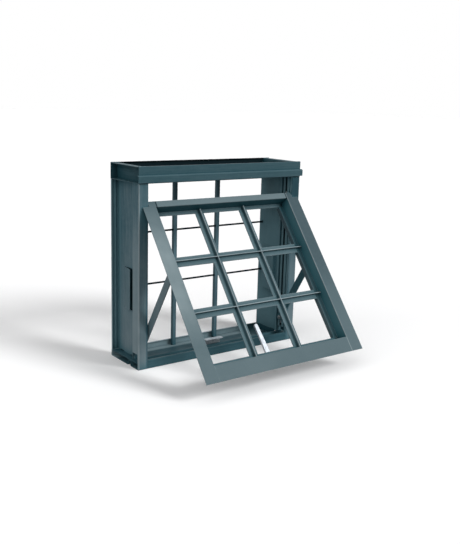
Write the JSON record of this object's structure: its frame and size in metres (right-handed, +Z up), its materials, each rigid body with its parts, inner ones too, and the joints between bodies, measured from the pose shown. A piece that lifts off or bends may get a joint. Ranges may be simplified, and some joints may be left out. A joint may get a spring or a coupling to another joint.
{
  "type": "awning window",
  "caption": "Top-sliding awning window of rolled sheet steel, held open on stay arms, with unglazed lattice sash, box frame and rear bar grille.",
  "frame": {"origin": "middle of the sill's underside", "axes": "+Z up, -Y outdoors, towards which the sash projects, +X to the right as seen from outdoors"},
  "size_m": [0.508, 0.4189, 0.5],
  "materials": {
    "frame_paint": "satin grey-green primer",
    "sash_paint": "satin grey-green primer",
    "plated_steel": "dull zinc plating",
    "bright_steel": "bright zinc plating",
    "handle_metal": "worn bright plating"
  },
  "bodies": {
    "root": {"frame_head": "frame_paint", "frame_sill": "frame_paint", "frame_jamb_left": "frame_paint", "frame_jamb_right": "frame_paint", "head_end_left": "frame_paint", "head_end_right": "frame_paint", "head_drip": "frame_paint", "sill_end_left": "frame_paint", "sill_end_right": "frame_paint", "lug_cover_left": "frame_paint", "lug_cover_right": "frame_paint", "slider_track_left": "frame_paint", "slider_track_right": "frame_paint", "grille_bar_left": "frame_paint", "grille_bar_right": "frame_paint", "grille_rod_lower": "frame_paint", "grille_rod_upper": "frame_paint", "sash_top_rail": "sash_paint", "sash_bottom_rail": "sash_paint", "sash_stile_left": "sash_paint", "sash_stile_right": "sash_paint", "muntin_horizontal_upper": "sash_paint", "muntin_horizontal_lower": "sash_paint", "muntin_vertical_left": "sash_paint", "muntin_vertical_right": "sash_paint", "slider_shoe_left": "plated_steel", "slider_shoe_right": "plated_steel", "pivot_block_left": "plated_steel", "pivot_block_right": "plated_steel", "stay_arm_left": "frame_paint", "stay_arm_right": "frame_paint", "arm_pin_left": "plated_steel", "arm_pin_right": "plated_steel", "sash_bracket_left": "plated_steel", "sash_bracket_right": "plated_steel", "handle_base": "handle_metal", "handle_lever": "handle_metal", "keeper_plate": "bright_steel"}
  },
  "joints": []
}
